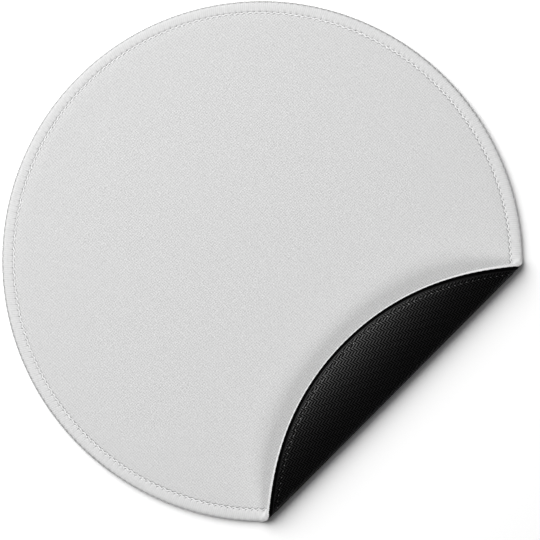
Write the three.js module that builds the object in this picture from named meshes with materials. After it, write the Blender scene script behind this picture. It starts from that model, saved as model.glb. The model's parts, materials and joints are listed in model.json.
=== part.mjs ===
// Round mouse pad: a knitted face cloth bonded to a rubber base, with an overlocked edge.
// One side of the pad is turned up and rolled back over the face, so its underside shows.
// Millimetres, +Z up. The origin is the centre of the round outline, on the underside.
// The fold runs along X, on the -Y side.

import * as THREE from 'three';

// The laminate, as it is cut and lies flat
const padDiameter = 220;        // over the sewn edge
const clothThickness = 0.5;
const filmThickness = 0.1;
const rubberThickness = 2.36;
const bondLine = 0.02;          // glue line between two bonded layers

// The overlocked edge
const seamWidth = 4.8;          // rim to needle line, on the face
const footSeamWidth = 3.7;      // rim to the lower looper's inner edge, on the underside
const looperThickness = 0.35;
const needleThickness = 0.5;
const seatClearance = 0.06;     // thread to laminate
const threadGap = 0.15;         // thread to thread
const footClearance = 0.1;      // lower looper to the desk
const drawLength = 1;           // over which the stitches draw the face in
const footStep = 0.3;           // over which the underside steps up to the lower looper
const edgeRounding = 2.4;       // length over which the cut edge is rounded
const edgeSqueezeShare = 0.15;  // of the rubber's thickness, pressed in at the rim from each side

// The fold
const turnedLength = 34.9;      // of the flat pad, from where it starts to bend to the rim
const foldInnerRadius = 0.8;    // clear radius inside the fold
const foldTurn = THREE.MathUtils.degToRad(150);   // turned by the tight bend
const flapTurn = THREE.MathUtils.degToRad(197);   // turned by the end of the arched flap

// Facets
const rimFacetAngle = THREE.MathUtils.degToRad(4.6);
const foldFacetAngle = THREE.MathUtils.degToRad(12.7);

// Sizes that follow
const padRadius = padDiameter / 2;
const padThickness = clothThickness + filmThickness + rubberThickness + 2 * bondLine;
const edgeSqueeze = edgeSqueezeShare * rubberThickness;
const neutralHeight = padThickness / 2;
const bendRadius = foldInnerRadius + padThickness - neutralHeight;
const foldStart = padRadius - turnedLength;
const foldLength = bendRadius * foldTurn;
const foldEnd = foldStart + foldLength;
const archRadius = (turnedLength - foldLength) / (flapTurn - foldTurn);
const foldEndReach = foldStart + bendRadius * Math.sin(foldTurn);
const foldEndRise = neutralHeight + bendRadius * (1 - Math.cos(foldTurn));

// Radii of the seam, from its inner side to the rim
const cutRadius = padRadius - looperThickness - seatClearance;
const roundRadius = cutRadius - edgeRounding;
const needleRadius = padRadius - seamWidth;
const drawnRadius = needleRadius - needleThickness;
const plainRadius = drawnRadius - drawLength;
const looperToeRadius = needleRadius + needleThickness / 2 + threadGap;
const footToeRadius = padRadius - footSeamWidth;
const footDrawnRadius = footToeRadius - threadGap;
const footPlainRadius = footDrawnRadius - footStep;

// Heights of the laminate under the seam
const faceDrawn = padThickness - looperThickness - seatClearance;
const faceRim = faceDrawn - edgeSqueeze;
const footDrawn = looperThickness + seatClearance + footClearance;
const footRim = footDrawn + edgeSqueeze;

// Folding: a point of the flat pad, given by its distance from the centre towards the fold, its
// place along the fold and its height, is carried round the bend. The middle of the laminate keeps
// its length.
function foldedPoint(along, across, height) {
  const offset = height - neutralHeight;
  let turn = 0;
  let reach = along;
  let rise = neutralHeight;
  if (along > foldEnd) {
    turn = foldTurn + (along - foldEnd) / archRadius;
    reach = foldEndReach + archRadius * (Math.sin(turn) - Math.sin(foldTurn));
    rise = foldEndRise + archRadius * (Math.cos(foldTurn) - Math.cos(turn));
  } else if (along > foldStart) {
    turn = (along - foldStart) / bendRadius;
    reach = foldStart + bendRadius * Math.sin(turn);
    rise = neutralHeight + bendRadius * (1 - Math.cos(turn));
  }
  return [across, offset * Math.sin(turn) - reach, rise + offset * Math.cos(turn)];
}

// Stations round the rim. On the flat and on the flap they are radial. Across the fold they are
// straight lines along the bend, so every facet there lies flat on the cylinder it follows.
function radialStations(from, to) {
  const count = Math.max(1, Math.ceil((to - from) / rimFacetAngle));
  return Array.from({ length: count + 1 }, (_, i) => (
    { angle: from + ((to - from) * i) / count, side: 1 }
  ));
}

function halfStations() {
  const count = Math.ceil(foldTurn / foldFacetAngle);
  const step = foldLength / count;
  const foldLines = Array.from({ length: count + 1 }, (_, i) => (
    { along: foldEnd - i * step, side: 1 }
  ));
  const flapAngle = Math.acos((foldEnd + step) / plainRadius);
  const flatAngle = Math.acos((foldStart - step) / padRadius);
  return [...radialStations(0, flapAngle), ...foldLines, ...radialStations(flatAngle, Math.PI)];
}

function rimStations() {
  const half = halfStations();
  const otherHalf = half.slice(1, -1).reverse();
  return [...half, ...otherHalf.map((station) => ({ ...station, side: -1 }))];
}

function stationPoint(station, radius, height) {
  if (station.angle !== undefined) {
    const across = station.side * radius * Math.sin(station.angle);
    return foldedPoint(radius * Math.cos(station.angle), across, height);
  }
  const across = station.side * Math.sqrt(radius ** 2 - station.along ** 2);
  return foldedPoint(station.along, across, height);
}

const stations = rimStations();

// Lofts a profile of [radius, height] points round the rim and folds it. The points run clockwise:
// outwards over the top, down at the rim and back inwards below.
function loftedPositions(profile) {
  return stations.flatMap((station) => (
    profile.flatMap(([radius, height]) => stationPoint(station, radius, height))
  ));
}

// Each four-sided facet is split the same way on all surfaces, and alike on both halves of the pad,
// so that bent neighbours nest: from its inner corner on the fold's side to its outer corner
function bandTriangles(profile, strips) {
  const triangles = [];
  const rows = profile.length;
  for (let i = 0; i < stations.length; i += 1) {
    const here = i * rows;
    const next = ((i + 1) % stations.length) * rows;
    const rightHalf = i < stations.length / 2;
    for (let j = 0; j < strips; j += 1) {
      const k = (j + 1) % rows;
      const outwards = profile[k][0] >= profile[j][0];
      if (outwards === rightHalf) {
        triangles.push(here + j, here + k, next + k);
        triangles.push(here + j, next + k, next + j);
      } else {
        triangles.push(here + j, here + k, next + j);
        triangles.push(here + k, next + k, next + j);
      }
    }
  }
  return triangles;
}

// The open middle of a disc is closed by straight strips that run along the fold
function discTriangles(rows, row, faceUp) {
  const triangles = [];
  const add = (a, b, c) => {
    if (a !== b && b !== c && a !== c) {
      triangles.push(a, faceUp ? b : c, faceUp ? c : b);
    }
  };
  const last = stations.length / 2;
  for (let i = 0; i < last; i += 1) {
    const right = i * rows + row;
    const rightNext = (i + 1) * rows + row;
    const left = ((stations.length - i) % stations.length) * rows + row;
    const leftNext = (stations.length - i - 1) * rows + row;
    add(right, rightNext, leftNext);
    add(right, leftNext, left);
  }
  return triangles;
}

function closedGeometry(positions, triangles) {
  const geometry = new THREE.BufferGeometry();
  geometry.setAttribute('position', new THREE.Float32BufferAttribute(positions, 3));
  geometry.setIndex(triangles);
  geometry.computeVertexNormals();
  return geometry;
}

function foldedRing(profile) {
  return closedGeometry(loftedPositions(profile), bandTriangles(profile, profile.length));
}

function foldedDisc(profile) {
  const rows = profile.length;
  return closedGeometry(loftedPositions(profile), [
    ...bandTriangles(profile, rows - 1),
    ...discTriangles(rows, 0, true),
    ...discTriangles(rows, rows - 1, false),
  ]);
}

// The laminate's surfaces, drawn in under the seam and rounded at the cut edge
const facePath = [
  [plainRadius, padThickness],
  [drawnRadius, faceDrawn],
  [roundRadius, faceDrawn],
  [cutRadius, faceRim],
];

const footPath = [
  [footPlainRadius, 0],
  [footDrawnRadius, footDrawn],
  [roundRadius, footDrawn],
  [cutRadius, footRim],
];

function lowered(path, depth) {
  return path.map(([radius, height]) => [radius, height - depth]);
}

function layer(top, bottom) {
  return foldedDisc([...top, ...[...bottom].reverse()]);
}

function faceCloth() {
  return layer(facePath, lowered(facePath, clothThickness));
}

function bondingFilm() {
  const top = lowered(facePath, clothThickness + bondLine);
  return layer(top, lowered(top, filmThickness));
}

function rubberBase() {
  return layer(lowered(facePath, clothThickness + filmThickness + 2 * bondLine), footPath);
}

// A path moved out by a distance, square to its runs, with its corners mitred
function offsetPath(path, distance) {
  const normals = path.slice(1).map(([radius, height], i) => {
    const run = new THREE.Vector2(radius - path[i][0], height - path[i][1]).normalize();
    return new THREE.Vector2(-run.y, run.x);
  });
  return path.map(([radius, height], i) => {
    const before = normals[Math.max(i - 1, 0)];
    const after = normals[Math.min(i, normals.length - 1)];
    const mitre = distance / (1 + before.dot(after));
    return [radius + (before.x + after.x) * mitre, height + (before.y + after.y) * mitre];
  });
}

// A looper thread lies on the laminate as a thin band of even thickness
function looperBand(path) {
  const inner = offsetPath(path, seatClearance);
  const outer = offsetPath(path, seatClearance + looperThickness);
  return foldedRing([...outer, ...inner.reverse()]);
}

// The upper looper covers the face of the seam and the whole rim
function upperLooper() {
  return looperBand([
    [looperToeRadius, faceDrawn],
    [roundRadius, faceDrawn],
    [cutRadius, faceRim],
    [cutRadius, footRim],
  ]);
}

// The lower looper covers the seam's underside and meets the upper one at the rim's lower corner
function lowerLooper() {
  return looperBand([
    [cutRadius, footRim],
    [roundRadius, footDrawn],
    [footToeRadius, footDrawn],
  ]);
}

// The needle thread runs round the inner edge of the seam, in the groove that it pulls
function needleThread() {
  const half = needleThickness / 2;
  const middle = faceDrawn + seatClearance + half;
  return foldedRing([
    [needleRadius - half, middle],
    [needleRadius - half / 2, middle + half],
    [needleRadius + half / 2, middle + half],
    [needleRadius + half, middle],
    [needleRadius + half / 2, middle - half],
    [needleRadius - half / 2, middle - half],
  ]);
}

function fabric(color, roughness) {
  return new THREE.MeshStandardMaterial({ color, roughness, metalness: 0 });
}

const paleKnit = fabric(0xdcdcda, 0.95);
const paleThread = fabric(0xe6e6e4, 0.8);
const clearAdhesive = fabric(0xe9e7df, 0.4);
const blackRubber = fabric(0x161718, 0.75);
const blackThread = fabric(0x0c0c0d, 0.85);

const pad = new THREE.Group();

function addPiece(name, geometry, material) {
  const piece = new THREE.Mesh(geometry, material);
  piece.name = name;
  pad.add(piece);
}

addPiece('face_cloth', faceCloth(), paleKnit);
addPiece('bonding_film', bondingFilm(), clearAdhesive);
addPiece('rubber_base', rubberBase(), blackRubber);
addPiece('upper_looper_thread', upperLooper(), paleThread);
addPiece('lower_looper_thread', lowerLooper(), blackThread);
addPiece('needle_thread', needleThread(), paleThread);

export default pad;
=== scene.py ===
import json
import math

import bmesh
import bpy
import numpy as np
from mathutils import Matrix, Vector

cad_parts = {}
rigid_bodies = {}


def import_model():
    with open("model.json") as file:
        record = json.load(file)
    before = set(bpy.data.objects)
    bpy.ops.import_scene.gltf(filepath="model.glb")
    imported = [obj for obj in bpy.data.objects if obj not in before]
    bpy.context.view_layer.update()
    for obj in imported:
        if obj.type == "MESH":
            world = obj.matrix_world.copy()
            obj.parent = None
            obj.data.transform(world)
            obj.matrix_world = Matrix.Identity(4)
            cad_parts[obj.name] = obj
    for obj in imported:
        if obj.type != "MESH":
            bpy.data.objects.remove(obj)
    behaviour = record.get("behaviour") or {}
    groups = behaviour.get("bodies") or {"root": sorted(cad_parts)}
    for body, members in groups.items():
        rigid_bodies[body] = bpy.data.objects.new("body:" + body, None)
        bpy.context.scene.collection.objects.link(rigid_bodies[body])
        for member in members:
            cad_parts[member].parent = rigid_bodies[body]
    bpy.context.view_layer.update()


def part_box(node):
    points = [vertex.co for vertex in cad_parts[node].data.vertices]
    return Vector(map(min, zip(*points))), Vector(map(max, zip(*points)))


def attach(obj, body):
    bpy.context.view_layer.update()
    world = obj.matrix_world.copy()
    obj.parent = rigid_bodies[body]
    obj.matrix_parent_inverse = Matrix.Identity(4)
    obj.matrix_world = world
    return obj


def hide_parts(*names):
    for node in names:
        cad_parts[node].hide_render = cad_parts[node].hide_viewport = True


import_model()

# The laminate as it is cut and folded. Lengths are in millimetres until a mesh is finished.
pad = {
    "radius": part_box("upper_looper_thread")[1].x * 1000,
    "cloth": 0.5,
    "film": 0.1,
    "rubber": 2.36,
    "bondLine": 0.02,
    "drawn": 0.41,           # how far the stitches press each face in
    "squeeze": 0.5,          # and how much further the cut edge is pressed in
    "plainRadius": 101.4,    # inside this the laminate is flat
    "plainRings": (3.0, 1.5),    # two rings of the mesh, this much further in
    "sunkTo": (104.5, 0.12),     # radius and depth to which the face sinks gently
    "sunkRows": 8,
    "steepFrom": (104.7, 0.18),  # and from which it drops steeply to the seam
    "seamRadii": (104.9, 105.6, 107.19),    # rings of the mesh under the seam
    "cutRadius": 109.5,
    "turnedLength": 34.9,    # from the start of the bend to the rim
    "innerRadius": 0.8,
    "tightTurn": 150.0,
    "fullTurn": 197.0,
    "tightStep": 0.36,       # between the fold lines that cut the mesh
    "archStep": 1.5,
    "stitches": 256,
    "sway": (0.3, 0.6),      # of the needle line in each stitch, far from the fold and next to it
    "swing": 0.1,            # of a stitch, over which the needle line swings inwards
    "partOffset": 0.13,      # where the looper's strands part, from the middle of the stitch
    "narrowing": 0.0033,     # of the width along the fold
    "seamWander": 0.38,      # how much further in the needle line runs towards +X and -X
    "wanderRadii": (98.4, 104.0, 106.0),    # it sets in over the first two, and fades from the third
}
thickness = pad["cloth"] + pad["film"] + pad["rubber"] + 2 * pad["bondLine"]
neutral = thickness / 2
bendRadius = pad["innerRadius"] + thickness - neutral
tightTurn = math.radians(pad["tightTurn"])
foldStart = pad["radius"] - pad["turnedLength"]
foldEnd = foldStart + bendRadius * tightTurn
archRadius = (pad["radius"] - foldEnd) / math.radians(pad["fullTurn"] - pad["tightTurn"])
stitchLength = 2 * math.pi * pad["radius"] / pad["stitches"]


def foldPoints(flat):
    # the middle of the laminate keeps its length; everything else turns with it
    along = -flat[:, 1]
    offset = flat[:, 2] - neutral
    bend = np.clip((along - foldStart) / bendRadius, 0, tightTurn)
    turn = bend + np.clip((along - foldEnd) / archRadius, 0, None)
    reach = np.minimum(along, foldStart) + bendRadius * np.sin(bend)
    reach += archRadius * (np.sin(turn) - np.sin(bend))
    rise = neutral + bendRadius * (1 - np.cos(bend)) + archRadius * (np.cos(bend) - np.cos(turn))
    return np.stack([flat[:, 0], offset * np.sin(turn) - reach, rise + offset * np.cos(turn)], axis=1)


def foldLines():
    tight = np.linspace(foldStart, foldEnd, math.ceil((foldEnd - foldStart) / pad["tightStep"]) + 1)
    arch = np.arange(foldEnd + pad["archStep"], pad["radius"], pad["archStep"])
    return [*tight, *arch]


def cutAtFoldLines(bm, caps):
    # straight cuts along the fold, from its start to the rim, so that the wide flat faces can bend
    for along in foldLines():
        edges = {edge for face in caps for edge in face.edges}
        verts = {vert for face in caps for vert in face.verts}
        if min(vert.co.y for vert in verts) > -along:
            break
        cut = bmesh.ops.bisect_plane(bm, geom=[*verts, *edges, *caps], dist=1e-4,
                                     plane_co=(0, -along, 0), plane_no=(0, 1, 0))["geom"]
        faces = [item for item in cut if isinstance(item, bmesh.types.BMFace)]
        caps = [face for face in faces if face.calc_center_median().y < -along]


def loftedRing(profile, samples, capped=False):
    # a circle at the first (radius, height) point, extruded through the others
    radius, height = profile[0]
    bm = bmesh.new()
    verts = bmesh.ops.create_circle(bm, radius=radius, segments=pad["stitches"] * samples)["verts"]
    bmesh.ops.translate(bm, verts=verts, vec=(0, 0, height))
    firstLoop = lastLoop = bm.edges[:]
    for nextRadius, nextHeight in profile[1:]:
        made = bmesh.ops.extrude_edge_only(bm, edges=lastLoop)["geom"]
        verts = [item for item in made if isinstance(item, bmesh.types.BMVert)]
        edges = [item for item in made if isinstance(item, bmesh.types.BMEdge)]
        fresh = set(verts)
        lastLoop = [edge for edge in edges if fresh.issuperset(edge.verts)]
        grow = nextRadius / radius
        bmesh.ops.scale(bm, verts=verts, vec=(grow, grow, 1))
        bmesh.ops.translate(bm, verts=verts, vec=(0, 0, nextHeight - height))
        radius, height = nextRadius, nextHeight
    if capped:
        caps = bmesh.ops.edgeloop_fill(bm, edges=[*firstLoop, *lastLoop])["faces"]
        cutAtFoldLines(bm, caps)
    else:
        bmesh.ops.bridge_loops(bm, edges=[*firstLoop, *lastLoop])
    bmesh.ops.recalc_face_normals(bm, faces=bm.faces)
    return bm


def markSharp(bm, angle=50):
    for face in bm.faces:
        face.smooth = True
    for edge in bm.edges:
        if edge.is_manifold and edge.calc_face_angle() > math.radians(angle):
            edge.smooth = False


def flatPoints(mesh):
    points = np.empty(len(mesh.vertices) * 3)
    mesh.vertices.foreach_get("co", points)
    return points.reshape(-1, 3)


def foldedPiece(name, bm, shape=None):
    # keeps each point's place on the flat pad as a UV map and an attribute, then folds the mesh
    markSharp(bm)
    mesh = bpy.data.meshes.new(name)
    bm.to_mesh(mesh)
    bm.free()
    flat = flatPoints(mesh)
    if shape:
        flat = shape(flat)
    corners = np.empty(len(mesh.loops), dtype=np.int32)
    mesh.loops.foreach_get("vertex_index", corners)
    layer = mesh.uv_layers.new(name="flatLay")
    layer.data.foreach_set("uv", (flat[corners, :2] / (2 * pad["radius"]) + 0.5).ravel())
    heights = mesh.attributes.new("flatHeight", "FLOAT", "POINT")
    heights.data.foreach_set("value", flat[:, 2])
    mesh.vertices.foreach_set("co", (foldPoints(handMade(flat)) / 1000).ravel())
    mesh.update()
    piece = bpy.data.objects.new(name, mesh)
    bpy.context.scene.collection.objects.link(piece)
    return piece


def arcPoints(centre, radii, fromAngle, toAngle, steps, square=1.0):
    # an elliptical arc, or one with squarer shoulders where square is below 1
    points = []
    for i in range(steps + 1):
        angle = math.radians(fromAngle + (toAngle - fromAngle) * i / steps)
        across, up = math.cos(angle), math.sin(angle)
        points.append((centre[0] + radii[0] * math.copysign(abs(across) ** square, across),
                       centre[1] + radii[1] * math.copysign(abs(up) ** square, up)))
    return points


def easedPath(start, end, steps):
    # an S-shaped run between two (radius, height) points
    shares = [i / steps for i in range(steps + 1)]
    eased = [(1 - math.cos(math.pi * share)) / 2 for share in shares]
    return [(start[0] + (end[0] - start[0]) * s, start[1] + (end[1] - start[1]) * e)
            for s, e in zip(shares, eased)]


def facePath(depth):
    # a layer's surface at this depth below the face, from the flat to the cut edge
    top = thickness - depth
    low = top - pad["drawn"]
    sunkRadius, sunkDepth = pad["sunkTo"]
    steepRadius, steepDepth = pad["steepFrom"]
    return [
        *[(pad["plainRadius"] - inwards, top) for inwards in pad["plainRings"]],
        *easedPath((pad["plainRadius"], top), (sunkRadius, top - sunkDepth), pad["sunkRows"]),
        (steepRadius, top - steepDepth),
        *[(radius, low) for radius in pad["seamRadii"]],
        (pad["cutRadius"], low - pad["squeeze"]),
    ]


def polar(flat):
    return np.hypot(flat[:, 0], flat[:, 1]), np.arctan2(flat[:, 1], flat[:, 0])


def fromPolar(radius, angle, height):
    return np.stack([radius * np.cos(angle), radius * np.sin(angle), height], axis=1)


def stitchOffset(angle):
    # from the middle of the nearest stitch, -0.5 to 0.5
    return (angle / (2 * math.pi) * pad["stitches"] + 0.5) % 1 - 0.5


def hump(values, centre, width):
    return np.exp(-((values - centre) / width) ** 2)


def stitchSway(offset, y):
    # a quick swing from the rim inwards at the middle of a stitch, and a slow return
    sway = np.interp(-y, (-pad["radius"], pad["radius"]), pad["sway"])
    return -sway * (np.tanh(offset / pad["swing"]) - 2 * offset)


def handMade(flat):
    # the pad is not quite round, and its seam wanders a little between the rim and the cloth
    radius, angle = polar(flat)
    near = np.interp(radius, (*pad["wanderRadii"], pad["radius"]), (0, 1, 1, 0))
    radius -= pad["seamWander"] * np.cos(angle) ** 2 * near
    made = fromPolar(radius, angle, flat[:, 2])
    made[:, 0] *= 1 - pad["narrowing"]
    return made


# Node helpers
class Nodes:
    def __init__(self, name):
        self.material = bpy.data.materials.new(name)
        self.material.use_nodes = True
        self.tree = self.material.node_tree
        self.shader = self.tree.nodes["Principled BSDF"]

    def add(self, kind, inputs=(), **settings):
        node = self.tree.nodes.new(kind)
        for key, value in settings.items():
            setattr(node, key, value)
        for key, value in dict(inputs).items():
            self.put(node.inputs[key], value)
        return node

    def put(self, socket, value):
        if isinstance(value, bpy.types.NodeSocket):
            self.tree.links.new(value, socket)
        else:
            socket.default_value = value

    def math(self, operation, first, second=0.0, third=0.0):
        node = self.add("ShaderNodeMath", {0: first, 1: second, 2: third}, operation=operation)
        return node.outputs[0]

    def ramp(self, value, *stops):
        node = self.add("ShaderNodeValToRGB", {"Fac": value})
        elements = node.color_ramp.elements
        while len(elements) < len(stops):
            elements.new(0.5)
        for element, (position, level) in zip(elements, stops):
            element.position = position
            element.color = (*level, 1) if isinstance(level, tuple) else (level, level, level, 1)
        return node.outputs["Color"]

    def flatLay(self):
        # millimetres on the flat pad, from its centre
        uv = self.add("ShaderNodeUVMap", uv_map="flatLay").outputs["UV"]
        size = 2 * pad["radius"]
        mapping = self.add("ShaderNodeMapping", {"Vector": uv, "Scale": (size, size, 1),
                                                 "Location": (-size / 2, -size / 2, 0)})
        return mapping.outputs["Vector"]

    def split(self, vector):
        node = self.add("ShaderNodeSeparateXYZ", {"Vector": vector})
        return node.outputs["X"], node.outputs["Y"]

    def join(self, x, y):
        return self.add("ShaderNodeCombineXYZ", {"X": x, "Y": y}).outputs["Vector"]

    def noise(self, vector, scale, detail=2.0, roughness=0.5):
        node = self.add("ShaderNodeTexNoise", {"Vector": vector, "Scale": scale,
                                               "Detail": detail, "Roughness": roughness})
        return node.outputs["Fac"]

    def fibres(self, radius, angle, scales):
        # noise stretched along a thread: scales are per stitch round the rim, and per millimetre across
        around = self.math("MULTIPLY", angle, scales[0])
        across = self.math("MULTIPLY", radius, scales[1])
        return self.noise(self.join(around, across), 1.0)

    def bump(self, height, distance, strength, under=None):
        inputs = {"Height": height, "Distance": distance / 1000, "Strength": strength}
        if under:
            inputs["Normal"] = under
        return self.add("ShaderNodeBump", inputs).outputs["Normal"]

    def flatHeight(self):
        return self.add("ShaderNodeAttribute", attribute_name="flatHeight").outputs["Fac"]

    def polarLay(self):
        # radius in millimetres, and the angle in stitches
        x, y = self.split(self.flatLay())
        squares = self.math("ADD", self.math("MULTIPLY", x, x), self.math("MULTIPLY", y, y))
        angle = self.math("MULTIPLY", self.math("ARCTAN2", y, x), pad["stitches"] / (2 * math.pi))
        return self.math("SQRT", squares), angle

    def radiusShare(self, length):
        return self.math("DIVIDE", length, pad["radius"])

    def foldShare(self):
        # of the radius, from the centre towards the fold
        return self.math("DIVIDE", self.split(self.flatLay())[1], -pad["radius"])

    def inStitch(self, angle):
        return self.math("SUBTRACT", self.math("FRACT", self.math("ADD", angle, 0.5)), 0.5)

    def spot(self, across, along, size):
        # 1 at the middle, 0 from the given (across, along) size outwards
        first = self.math("POWER", self.math("DIVIDE", across, size[0]), 2.0)
        second = self.math("POWER", self.math("DIVIDE", along, size[1]), 2.0)
        reach = self.math("SQRT", self.math("ADD", first, second))
        return self.math("SUBTRACT", 1.0, self.math("SMOOTH_MIN", reach, 1.0, 0.3))


def finishPiece(piece, nodes, node):
    piece.data.materials.append(nodes.material)
    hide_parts(node)
    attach(piece, "root")
    print(piece.name, len(piece.data.polygons), "faces")


# Knitted face cloth
faceCloth = {
    "samples": 8,            # round the rim for each stitch
    "pucker": 0.12,          # depth of the dimple at each needle hole
    "puckerRadius": 104.9,
    "puckerWidth": 0.6,
    "puckerLength": 0.16,    # of a stitch
    "puckerRise": 0.25,      # of its depth, by which the face stands up between two dimples
    "holeRadius": 104.84,
    "holeOffset": -0.12,     # from the middle of the stitch
    "holeSize": (0.34, 1.5),
    "holeShade": ((0.1, 0.3), (0.5, 0.8), (0.85, 1.0)),    # how dark the painted shade in the holes is, from far off to next to the fold
    "openRadius": 105.42,    # painted shade between the needle line and the looper's open toe
    "openSize": (0.36, 0.45),
    "openShade": 0.7,
    "color": 0.69,
    "contrast": 0.24,
    "wale": 0.96,
    "course": 0.89,
    "waver": (0.7, 10.0),    # scale and size of the rows' wavering
    "patchScale": 0.45,
    "patches": ((0.3, 0.0), (0.7, 1.0)),    # now the one row shows more, now the other
    "knit": (0.115, -0.075),     # weight of the rows in the grain, and its level
    "fleck": (3.2, 2.0, 0.75),   # noise scale, detail and roughness
    "fleckWeight": 1.15,
    "cloud": (0.3, 0.03),    # scale and weight of the broad light and dark places
    "bump": (0.07, 0.8),
    "roughness": 0.92,
    "sheen": 0.15,
    "specular": 0.2,
}


def pucker(flat):
    # each stitch pulls a dimple into the face, inward of the needle thread
    radius, angle = polar(flat)
    hole = hump(stitchOffset(angle), faceCloth["holeOffset"], faceCloth["puckerLength"])
    near = hump(radius, faceCloth["puckerRadius"], faceCloth["puckerWidth"])
    flat[:, 2] -= faceCloth["pucker"] * (hole - faceCloth["puckerRise"]) * near
    return flat


def knitGrain(n, place):
    x, y = n.split(place)
    scale, size = faceCloth["waver"]
    drift = n.math("MULTIPLY", n.noise(place, scale, 1.0), size)
    shift = n.math("MULTIPLY", n.noise(n.join(y, x), scale, 1.0), size)
    wale = n.math("SINE", n.math("MULTIPLY_ADD", x, 2 * math.pi / faceCloth["wale"], drift))
    course = n.math("SINE", n.math("MULTIPLY_ADD", y, 2 * math.pi / faceCloth["course"], shift))
    mixed = n.ramp(n.noise(place, faceCloth["patchScale"]), *faceCloth["patches"])
    rows = n.add("ShaderNodeMix", {"Factor": mixed, "A": wale, "B": course}).outputs["Result"]
    both = n.math("MULTIPLY_ADD", n.math("ADD", wale, course), 0.5, rows)
    knit = n.math("MULTIPLY_ADD", both, *faceCloth["knit"])
    return n.math("MULTIPLY_ADD", n.noise(place, *faceCloth["fleck"]), faceCloth["fleckWeight"], knit)


def seamShadow(n):
    # painted shade in the needle holes, which sway as in stitchSway, and beside the looper's open toe
    radius, angle = n.polarLay()
    offset = n.inStitch(angle)
    swing = n.math("TANH", n.math("DIVIDE", offset, pad["swing"]))
    swing = n.math("SUBTRACT", swing, n.math("MULTIPLY", offset, 2.0))
    foldward = n.math("MULTIPLY_ADD", n.foldShare(), 0.5, 0.5)
    sway = n.math("MULTIPLY_ADD", foldward, pad["sway"][1] - pad["sway"][0], pad["sway"][0])
    across = n.math("SUBTRACT", n.math("MULTIPLY_ADD", swing, sway, radius), faceCloth["holeRadius"])
    along = n.math("MULTIPLY", n.math("SUBTRACT", offset, faceCloth["holeOffset"]), stitchLength)
    hole = n.spot(across, along, faceCloth["holeSize"])
    across = n.math("SUBTRACT", radius, faceCloth["openRadius"])
    along = n.math("MULTIPLY", n.math("SUBTRACT", offset, pad["partOffset"]), stitchLength)
    opening = n.spot(across, along, faceCloth["openSize"])
    # the painted shade in the holes is heavier on the fold's side, away from the key
    hole = n.math("MULTIPLY", hole, n.ramp(foldward, *faceCloth["holeShade"]))
    return n.math("MAXIMUM", hole, n.math("MULTIPLY", opening, faceCloth["openShade"]))


def makeFaceCloth():
    profile = facePath(0) + facePath(pad["cloth"])[::-1]
    bm = loftedRing(profile, faceCloth["samples"], capped=True)
    piece = foldedPiece("face_knit_cloth", bm, pucker)
    n = Nodes("pale knit")
    place = n.flatLay()
    grain = knitGrain(n, place)
    cloudScale, cloudShare = faceCloth["cloud"]
    cloudy = n.math("MULTIPLY", grain, 1 - cloudShare)
    tone = n.math("MULTIPLY_ADD", n.noise(place, cloudScale), cloudShare, cloudy)
    darkest = faceCloth["color"] - faceCloth["contrast"]
    level = n.math("MULTIPLY_ADD", tone, 2 * faceCloth["contrast"], darkest)
    level = n.math("MULTIPLY", level, n.math("SUBTRACT", 1.0, seamShadow(n)))
    n.put(n.shader.inputs["Base Color"], level)
    n.put(n.shader.inputs["Normal"], n.bump(grain, *faceCloth["bump"]))
    n.shader.inputs["Roughness"].default_value = faceCloth["roughness"]
    n.shader.inputs["Sheen Weight"].default_value = faceCloth["sheen"]
    n.shader.inputs["Specular IOR Level"].default_value = faceCloth["specular"]
    finishPiece(piece, n, "face_cloth")


makeFaceCloth()


# Adhesive film between the cloth and the rubber
bondingFilm = {
    "samples": 2,
    "color": (0.80, 0.78, 0.73, 1),
    "cloudScale": 0.5,
    "roughness": (0.2, 0.35),    # its change from place to place, and the least
}


def makeBondingFilm():
    depth = pad["cloth"] + pad["bondLine"]
    profile = facePath(depth) + facePath(depth + pad["film"])[::-1]
    bm = loftedRing(profile, bondingFilm["samples"], capped=True)
    piece = foldedPiece("bonding_film_sheet", bm)
    n = Nodes("clear adhesive")
    cloudy = n.noise(n.flatLay(), bondingFilm["cloudScale"])
    n.shader.inputs["Base Color"].default_value = bondingFilm["color"]
    n.put(n.shader.inputs["Roughness"], n.math("MULTIPLY_ADD", cloudy, *bondingFilm["roughness"]))
    finishPiece(piece, n, "bonding_film")


makeBondingFilm()


# Herringbone grip: moulded into the rubber, and pressed through the flat threads along its edge
grip = {
    "bandAngle": 32.4,       # of the herringbone's bands from X, on the flat pad
    "bandWidth": 2.79,       # a pair of bands
    "pitch": 1.42,           # from rib to rib along a band
    "shift": 0.3,            # of a pitch, by which the ribs of two bands miss each other
    "ribs": ((0.38, 0.0), (0.9, 1.0)),      # the flank of a rib
    "edge": 107.95,          # where the black threads begin
    "edgeFade": 0.001,       # of the radius
    "edgeRidge": ((-0.003, 0.0), (-0.0012, 0.8), (0.0, 0.8), (0.001, 0.0)),   # from the edge
    "wearScale": 0.9,
    "wear": (0.9, 0.45),     # its change from place to place, and the least
    "paintedFoldSheen": ((0.66, 0.5), (0.70, 0.1), (0.80, 0.34), (0.95, 0.8)),   # painted sheen from the centre over the fold: low on the bend, high near the flap's rim
    "gap": (0.0002, 0.0002, 0.0003),
    "rib": (0.0022, 0.0023, 0.0027),
    "index": 1.7,
    "gapRoughness": 0.85,
    "ribRoughness": 0.49,
    "gapSpecular": 0.03,
    "ribSpecular": 1.0,
    "bump": (0.08, 0.7),
}


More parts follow.
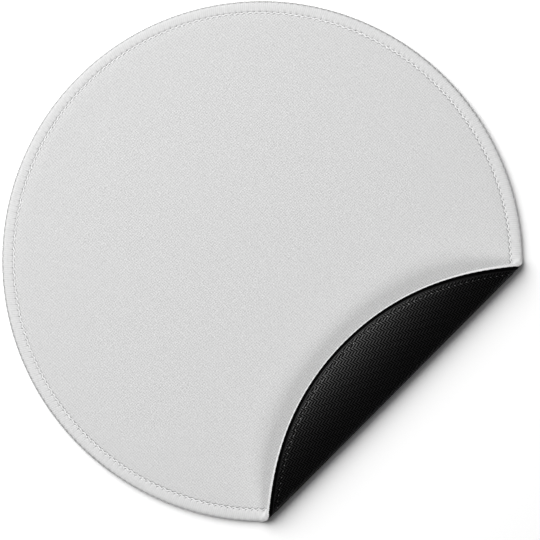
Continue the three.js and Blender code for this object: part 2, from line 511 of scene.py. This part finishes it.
def gripRibs(n, place):
    # ribs that slant one way and the other from band to band
    turn = (0, 0, -math.radians(grip["bandAngle"]))
    turned = n.add("ShaderNodeMapping", {"Vector": place, "Rotation": turn}).outputs["Vector"]
    along, across = n.split(turned)
    band = n.math("DIVIDE", across, grip["bandWidth"])
    sign = n.math("MULTIPLY_ADD", n.math("GREATER_THAN", n.math("FRACT", band), 0.5), 2.0, -1.0)
    step = n.math("DIVIDE", along, grip["pitch"])
    phase = n.math("MULTIPLY_ADD", step, sign, n.math("MULTIPLY_ADD", band, 2.0, grip["shift"]))
    wave = n.math("COSINE", n.math("MULTIPLY", phase, 2 * math.pi))
    return n.ramp(n.math("MULTIPLY_ADD", wave, 0.5, 0.5), *grip["ribs"])


def gripShading(n):
    place = n.flatLay()
    share = n.radiusShare(n.polarLay()[0])
    edge = grip["edge"] / pad["radius"]
    # outside the grip the threads are plain, but for a ridge along its edge
    inside = n.ramp(share, (edge - grip["edgeFade"], 1.0), (edge + grip["edgeFade"], 0.0))
    ridge = n.ramp(share, *[(edge + away, level) for away, level in grip["edgeRidge"]])
    level = n.math("MAXIMUM", n.math("MULTIPLY", gripRibs(n, place), inside), ridge)
    wear = n.math("MULTIPLY_ADD", n.noise(place, grip["wearScale"]), *grip["wear"])
    # the ribs' wear, times a painted sheen that is low over the bend and high near the flap's rim
    paintedFoldSheen = n.ramp(n.foldShare(), *grip["paintedFoldSheen"])
    worn = n.math("MULTIPLY", n.math("MULTIPLY", level, wear), paintedFoldSheen)
    smoother = grip["ribRoughness"] - grip["gapRoughness"]
    glossier = grip["ribSpecular"] - grip["gapSpecular"]
    n.put(n.shader.inputs["Base Color"], n.ramp(worn, (0.0, grip["gap"]), (1.0, grip["rib"])))
    n.put(n.shader.inputs["Roughness"], n.math("MULTIPLY_ADD", level, smoother, grip["gapRoughness"]))
    n.put(n.shader.inputs["Specular IOR Level"],
          n.math("MULTIPLY_ADD", worn, glossier, grip["gapSpecular"]))
    n.shader.inputs["IOR"].default_value = grip["index"]
    return n.bump(level, *grip["bump"])


# Rubber base
rubberBase = {
    "samples": 4,
    "footClearance": 0.1,    # by which the groove is deeper than the face is pressed in
    "grooveRadius": 106.24,  # inner wall of the groove that the lower looper lies in
    "grooveCorner": ((106.2, 0.08), (106.1, 0.0)),
    "footRadius": 105.5,     # outermost row of the plain underside
    "footRows": 8,
}


def footPath():
    # the underside, from the cut edge over the lower looper's groove to the flat
    high = pad["drawn"] + rubberBase["footClearance"]
    roundRadius = pad["seamRadii"][-1]
    return [
        (pad["cutRadius"], high + pad["squeeze"]),
        ((pad["cutRadius"] + roundRadius) / 2, high + pad["squeeze"] / 2),
        (roundRadius, high),
        (rubberBase["grooveRadius"], high),
        *rubberBase["grooveCorner"],
        *easedPath((rubberBase["footRadius"], 0), (pad["plainRadius"], 0), rubberBase["footRows"]),
        (pad["plainRadius"] - pad["plainRings"][-1], 0),
    ]


def makeRubberBase():
    depth = pad["cloth"] + pad["film"] + 2 * pad["bondLine"]
    bm = loftedRing(facePath(depth) + footPath(), rubberBase["samples"], capped=True)
    piece = foldedPiece("rubber_grip_base", bm)
    n = Nodes("black rubber")
    n.put(n.shader.inputs["Normal"], gripShading(n))
    finishPiece(piece, n, "rubber_base")


makeRubberBase()


# Pale threads
paleThread = {
    "fibres": (26.0, 1.6),   # scales of the fine streaks and of the lighter and darker stretches
    "patches": (1.7, 0.7),
    "contrast": 0.3,         # of the colour
    "bump": (0.06, 0.6),
    "specular": 0.3,
}


def threadMaterial(name, settings, shadow):
    n = Nodes(name)
    radius, angle = n.polarLay()
    fibres = n.fibres(radius, angle, paleThread["fibres"])
    patches = n.fibres(radius, angle, paleThread["patches"])
    tone = n.math("MULTIPLY", n.math("ADD", fibres, patches), 0.5)
    contrast = paleThread["contrast"] * settings["color"]
    level = n.math("MULTIPLY_ADD", tone, contrast, settings["color"] - contrast / 2)
    level = n.math("MULTIPLY", level, n.math("SUBTRACT", 1.0, shadow(n, radius, angle)))
    n.put(n.shader.inputs["Base Color"], level)
    n.put(n.shader.inputs["Normal"], n.bump(fibres, *paleThread["bump"]))
    n.shader.inputs["Roughness"].default_value = settings["roughness"]
    n.shader.inputs["Sheen Weight"].default_value = settings["sheen"]
    n.shader.inputs["Specular IOR Level"].default_value = paleThread["specular"]
    return n


# Upper looper thread: pale strands side by side over the edge, three to a stitch
upperLooper = {
    "samples": 15,           # round the rim for each stitch
    "toe": [(105.50, 2.70), (105.52, 2.84), (105.62, 2.93), (105.90, 2.98), (106.50, 3.00)],
    "crown": {"centre": (106.9, 1.5), "radii": (3.1, 1.5), "fromAngle": 85, "toAngle": 0,
              "steps": 10, "square": 0.64},
    "rim": [(110.0, 1.0)],
    "hem": {"centre": (109.45, 1.0), "radii": (0.55, 0.70), "fromAngle": -22, "toAngle": -90,
            "steps": 4},
    "back": [(109.45, 0.64), (109.6, 0.80), (109.6, 2.10), (107.3, 2.655)],   # on the laminate
    "strands": 3,
    "strandHeight": 0.12,
    "strandSunk": 0.6,       # of that height, in the looper's band
    "strandLean": 0.146,     # of a strand's width, per millimetre of radius
    "leanRadius": 107.5,     # where the strands are in line with their stitch
    "scallop": 0.10,
    "scallopRadius": 109.2,  # scallops lie outside this
    "toeRadius": 105.55,
    "toeWidth": 0.6,
    "toeGap": 0.45,          # how far the strands part there
    "toeGapLength": 0.13,    # of a stitch
    "toeDrop": 0.30,
    # painted shade where the toe opens, and between the strands
    "toeSize": (0.60, 0.28),
    "toeLean": -0.8,
    "toeShade": 0.55,
    "grooveShade": 0.12,
    "grooveSharpness": 3.0,
    "upperHeight": 1.1,      # the rim's upper part is above this
    "rimShade": (0.25, 0.25),    # painted shade on the rim's upper part: its change within a stitch, and the least
    "rimShares": ((0.9925, 0.0), (0.9955, 1.0)),    # of the radius
    "rimFade": ((0.1, 1.0), (0.55, 0.35), (0.67, 0.35), (0.69, 0.0)),   # of the rim's painted shade, from the centre to the fold
    "lowerLight": -0.12,     # painted light, which makes the lower part, seen as the flap's pale edge, lighter
    "color": 0.755,
    "roughness": 0.7,
    "sheen": 0.2,
}


def upperLooperPath():
    outer = [
        *upperLooper["toe"],
        *arcPoints(**upperLooper["crown"]),
        *upperLooper["rim"],
        *arcPoints(**upperLooper["hem"]),
    ]
    return outer, upperLooper["back"]


def profileNormals(points):
    runs = np.roll(points, -1, axis=0) - np.roll(points, 1, axis=0)
    normals = np.stack([-runs[:, 1], runs[:, 0]], axis=1)
    return normals / np.linalg.norm(normals, axis=1)[:, None]


def shapeUpperLooper(flat):
    outer, back = upperLooperPath()
    profile = np.array(outer + back)
    normals = profileNormals(profile)
    radius, angle = polar(flat)
    height = flat[:, 2].copy()
    away = (radius[:, None] - profile[:, 0]) ** 2 + (height[:, None] - profile[:, 1]) ** 2
    index = away.argmin(axis=1)
    outside = index < len(outer)
    offset = stitchOffset(angle)
    # strands
    lean = upperLooper["strandLean"] * (radius - upperLooper["leanRadius"])
    strand = (offset * upperLooper["strands"] + lean) % 1
    bulge = np.sqrt(np.clip(1 - (2 * strand - 1) ** 2, 0, 1)) - upperLooper["strandSunk"]
    lift = upperLooper["strandHeight"] * bulge
    recess = 0.5 + 0.5 * np.cos(2 * np.pi * (offset - pad["partOffset"]))
    lift -= upperLooper["scallop"] * recess * (radius > upperLooper["scallopRadius"])
    lift = np.where(outside, lift, 0.0)
    radius += normals[index, 0] * lift
    height += normals[index, 1] * lift
    # the toe opens once in each stitch
    gap = hump(offset, pad["partOffset"], upperLooper["toeGapLength"])
    toe = hump(radius, upperLooper["toeRadius"], upperLooper["toeWidth"]) * outside
    radius += (stitchSway(offset, flat[:, 1]) + upperLooper["toeGap"] * gap) * toe
    height -= upperLooper["toeDrop"] * gap * toe
    return fromPolar(radius, angle, height)


def looperShadow(n, radius, angle):
    # painted shade between the strands, over the rim's upper part and where the toe opens, and painted
    # light on the lower part
    offset = n.inStitch(angle)
    lean = n.math("SUBTRACT", radius, upperLooper["leanRadius"])
    lean = n.math("MULTIPLY", lean, upperLooper["strandLean"])
    strand = n.math("MULTIPLY_ADD", offset, float(upperLooper["strands"]), lean)
    groove = n.math("ABSOLUTE", n.math("MULTIPLY_ADD", n.math("FRACT", strand), 2.0, -1.0))
    groove = n.math("POWER", groove, upperLooper["grooveSharpness"])
    groove = n.math("MULTIPLY", groove, upperLooper["grooveShade"])
    turned = n.math("SUBTRACT", offset, pad["partOffset"])
    wave = n.math("COSINE", n.math("MULTIPLY", turned, 2 * math.pi))
    recess = n.math("MULTIPLY_ADD", wave, 0.5, 0.5)
    upper = n.math("GREATER_THAN", n.flatHeight(), upperLooper["upperHeight"])
    rim = n.math("MULTIPLY", n.ramp(n.radiusShare(radius), *upperLooper["rimShares"]), upper)
    rim = n.math("MULTIPLY", rim, n.ramp(n.foldShare(), *upperLooper["rimFade"]))
    rim = n.math("MULTIPLY", rim, n.math("MULTIPLY_ADD", recess, *upperLooper["rimShade"]))
    across = n.math("SUBTRACT", radius, upperLooper["toeRadius"])
    along = n.math("MULTIPLY", turned, stitchLength)
    along = n.math("MULTIPLY_ADD", across, -upperLooper["toeLean"], along)
    toe = n.math("MULTIPLY", n.spot(across, along, upperLooper["toeSize"]), upperLooper["toeShade"])
    # painted light on the lower part of the rim
    lit = n.math("MULTIPLY", n.math("SUBTRACT", 1.0, upper), upperLooper["lowerLight"])
    return n.math("ADD", n.math("MAXIMUM", n.math("MAXIMUM", toe, groove), rim), lit)


def makeUpperLooper():
    outer, back = upperLooperPath()
    bm = loftedRing(outer + back, upperLooper["samples"])
    piece = foldedPiece("upper_looper_strands", bm, shapeUpperLooper)
    n = threadMaterial("pale looper thread", upperLooper, looperShadow)
    finishPiece(piece, n, "upper_looper_thread")


makeUpperLooper()


# Lower looper thread: black, under the seam, two strands and a flat toe
lowerLooper = {
    "samples": 6,
    "rim": [(109.43, 0.62), (109.43, 0.32)],
    "outerStrand": {"centre": (108.95, 0.30), "radii": (0.45, 0.17), "fromAngle": -20,
                    "toAngle": -160, "steps": 5},
    "innerStrand": {"centre": (108.05, 0.27), "radii": (0.42, 0.16), "fromAngle": -20,
                    "toAngle": -150, "steps": 5},
    "toe": [(107.60, 0.30), (107.45, 0.12), (107.1, 0.10), (106.8, 0.10), (106.45, 0.11),
            (106.32, 0.18), (106.32, 0.44)],
    "back": [(108.4, 0.44)],     # on the laminate
    "ridge": 0.05,
    "ridges": 2,             # to a stitch
    "ridgeLean": 0.5,        # of a ridge's width, per millimetre of radius
    "leanRadius": 108.0,
    "ridgeHeight": 0.33,     # ridges lie below this
    "fibres": (9.0, 5.0),
    "bump": (0.03, 0.5),
}


def lowerLooperPath():
    return [
        *lowerLooper["rim"],
        *arcPoints(**lowerLooper["outerStrand"]),
        *arcPoints(**lowerLooper["innerStrand"]),
        *lowerLooper["toe"],
        *lowerLooper["back"],
    ]


def shapeLowerLooper(flat):
    radius, angle = polar(flat)
    lean = (radius - lowerLooper["leanRadius"]) * lowerLooper["ridgeLean"]
    wave = np.abs(np.sin(np.pi * (lowerLooper["ridges"] * stitchOffset(angle) + lean)))
    low = flat[:, 2] < lowerLooper["ridgeHeight"]
    return fromPolar(radius, angle, flat[:, 2] + lowerLooper["ridge"] * wave * low)


def makeLowerLooper():
    bm = loftedRing(lowerLooperPath(), lowerLooper["samples"])
    piece = foldedPiece("lower_looper_strands", bm, shapeLowerLooper)
    n = Nodes("black looper thread")
    fibres = n.fibres(*n.polarLay(), lowerLooper["fibres"])
    n.put(n.shader.inputs["Normal"], n.bump(fibres, *lowerLooper["bump"], gripShading(n)))
    finishPiece(piece, n, "lower_looper_thread")


makeLowerLooper()


# Needle thread: a swaying strand for each stitch on the face, and a small loop below
needleThread = {
    "sides": 5,
    "rings": 12,
    "radius": 105.22,
    "height": 2.73,
    "halfSize": (0.29, 1.75, 0.19),
    "bowHeight": 0.07,
    "bowPower": 3,
    "loopSides": 6,
    "loopRings": 4,
    "loopRadius": 106.24,
    "loopHeight": 0.15,
    "loopHalfSize": (0.19, 0.26, 0.14),
    "loopSlant": 20,
    "loopPatchScale": 1.1,
    "loopPatchDark": ((0.4, 0.9), (0.62, 0.4)),
    "loopDarkAside": ((0.3, 0.4), (0.55, 0.86)),    # from the pad's middle line outwards
    "color": 0.95,
    "roughness": 0.6,
    "sheen": 0.3,
}


def axisTurn(axis, degrees):
    return Matrix.Rotation(math.radians(degrees), 3, axis)


def repeatedStrand(bm, sides, rings, size, place, slant=0):
    made = bmesh.ops.create_uvsphere(bm, u_segments=sides, v_segments=rings, radius=1)["verts"]
    bmesh.ops.rotate(bm, verts=made, cent=(0, 0, 0), matrix=axisTurn("X", 90))
    bmesh.ops.scale(bm, verts=made, vec=size)
    bmesh.ops.rotate(bm, verts=made, cent=(0, 0, 0), matrix=axisTurn("Z", slant))
    bmesh.ops.translate(bm, verts=made, vec=place)
    edges = {edge for vert in made for edge in vert.link_edges}
    faces = {face for vert in made for face in vert.link_faces}
    copies = pad["stitches"] - 1
    bmesh.ops.spin(bm, geom=[*made, *edges, *faces], cent=(0, 0, 0), axis=(0, 0, 1),
                   angle=2 * math.pi * copies / pad["stitches"], steps=copies, use_duplicate=True)


def shapeNeedleThread(flat):
    # each strand sways in its middle and dips into the holes at its ends
    radius, angle = polar(flat)
    offset = stitchOffset(angle)
    top = flat[:, 2] > neutral
    radius += stitchSway(offset, flat[:, 1]) * top
    dip = needleThread["bowHeight"] * (2 * np.abs(offset)) ** needleThread["bowPower"]
    return fromPolar(radius, angle, flat[:, 2] - dip * top)


def loopDarkening(n, radius, angle):
    # the loops below are darker in random patches, and more so towards the ends of the fold
    patches = n.fibres(radius, angle, (needleThread["loopPatchScale"], 0.0))
    aside = n.math("ABSOLUTE", n.radiusShare(n.split(n.flatLay())[0]))
    worn = n.math("MAXIMUM", n.ramp(patches, *needleThread["loopPatchDark"]),
                  n.ramp(aside, *needleThread["loopDarkAside"]))
    return n.math("MULTIPLY", n.math("LESS_THAN", n.flatHeight(), neutral), worn)


def makeNeedleThread():
    thread = needleThread
    bm = bmesh.new()
    place = (thread["radius"], 0, thread["height"])
    repeatedStrand(bm, thread["sides"], thread["rings"], thread["halfSize"], place)
    place = (thread["loopRadius"], 0, thread["loopHeight"])
    repeatedStrand(bm, thread["loopSides"], thread["loopRings"], thread["loopHalfSize"], place,
                   thread["loopSlant"])
    bmesh.ops.recalc_face_normals(bm, faces=bm.faces)
    piece = foldedPiece("needle_thread_stitches", bm, shapeNeedleThread)
    n = threadMaterial("pale needle thread", thread, loopDarkening)
    finishPiece(piece, n, "needle_thread")


makeNeedleThread()


# Floor, light and camera, in metres
studio = {
    "floorSize": 12.0,
    "floorColor": 0.5,
    "floorShown": 1.68,      # what the camera and reflections see, so that the lit floor is white
    "keyDistance": 1.0,
    "keyTilt": 50.8,         # from the zenith, to the side away from the fold
    "keySize": 1.6,
    "keyPower": 16.25,
    "fillDistance": 2.0,
    "fillTilt": -46.0,
    "fillSize": 1.2,
    "fillPower": 16.3,
    "world": 0.09,
    "lens": 500.0,
    "sensor": 36.0,
    "viewWidth": 0.2279,
    "viewCentre": (-0.00034, -0.00498),
    "viewTurn": -45.15,
    "clipEnd": 50.0,
}


def makeFloor():
    bm = bmesh.new()
    bmesh.ops.create_grid(bm, x_segments=1, y_segments=1, size=studio["floorSize"] / 2)
    mesh = bpy.data.meshes.new("floor")
    bm.to_mesh(mesh)
    bm.free()
    floor = bpy.data.objects.new("floor", mesh)
    bpy.context.scene.collection.objects.link(floor)
    n = Nodes("pale floor")
    path = n.add("ShaderNodeLightPath").outputs
    seen = n.math("MAXIMUM", path["Is Glossy Ray"], path["Is Transmission Ray"])
    seen = n.math("MAXIMUM", path["Is Camera Ray"], seen)
    brighter = studio["floorShown"] - studio["floorColor"]
    color = n.math("MULTIPLY_ADD", seen, brighter, studio["floorColor"])
    diffuse = n.add("ShaderNodeBsdfDiffuse", {"Color": color})
    n.put(n.tree.nodes["Material Output"].inputs["Surface"], diffuse.outputs["BSDF"])
    n.tree.nodes.remove(n.shader)
    mesh.materials.append(n.material)


def makeLight(name):
    data = bpy.data.lights.new(name, "AREA")
    data.shape = "DISK"
    data.size = studio[name + "Size"]
    data.energy = studio[name + "Power"]
    light = bpy.data.objects.new(name, data)
    tilt = math.radians(studio[name + "Tilt"])
    distance = studio[name + "Distance"]
    light.location = (0, distance * math.sin(tilt), distance * math.cos(tilt))
    light.rotation_euler = (-tilt, 0, 0)
    bpy.context.scene.collection.objects.link(light)
    return light


def makeLights():
    makeLight("key")
    fill = makeLight("fill")
    fill.visible_glossy = False
    # the fill lights the pad alone, and leaves the floor's shadow to the key
    lit = bpy.data.collections.new("lit by the fill")
    for piece in bpy.context.scene.objects:
        if piece.type == "MESH" and piece.name != "floor":
            lit.objects.link(piece)
    fill.light_linking.receiver_collection = lit
    world = bpy.data.worlds.new("studio")
    world.use_nodes = True
    background = world.node_tree.nodes["Background"]
    background.inputs["Color"].default_value = (1, 1, 1, 1)
    background.inputs["Strength"].default_value = studio["world"]
    bpy.context.scene.world = world


def makeCamera():
    data = bpy.data.cameras.new("camera")
    data.sensor_width = studio["sensor"]
    data.lens = studio["lens"]
    data.clip_end = studio["clipEnd"]
    camera = bpy.data.objects.new("camera", data)
    distance = studio["viewWidth"] * studio["lens"] / studio["sensor"]
    camera.location = (*studio["viewCentre"], distance + neutral / 1000)
    camera.rotation_euler = (0, 0, math.radians(studio["viewTurn"]))
    bpy.context.scene.collection.objects.link(camera)
    bpy.context.scene.camera = camera


makeFloor()
makeLights()
makeCamera()
bpy.context.scene.view_settings.view_transform = "Standard"
print("studio ready")
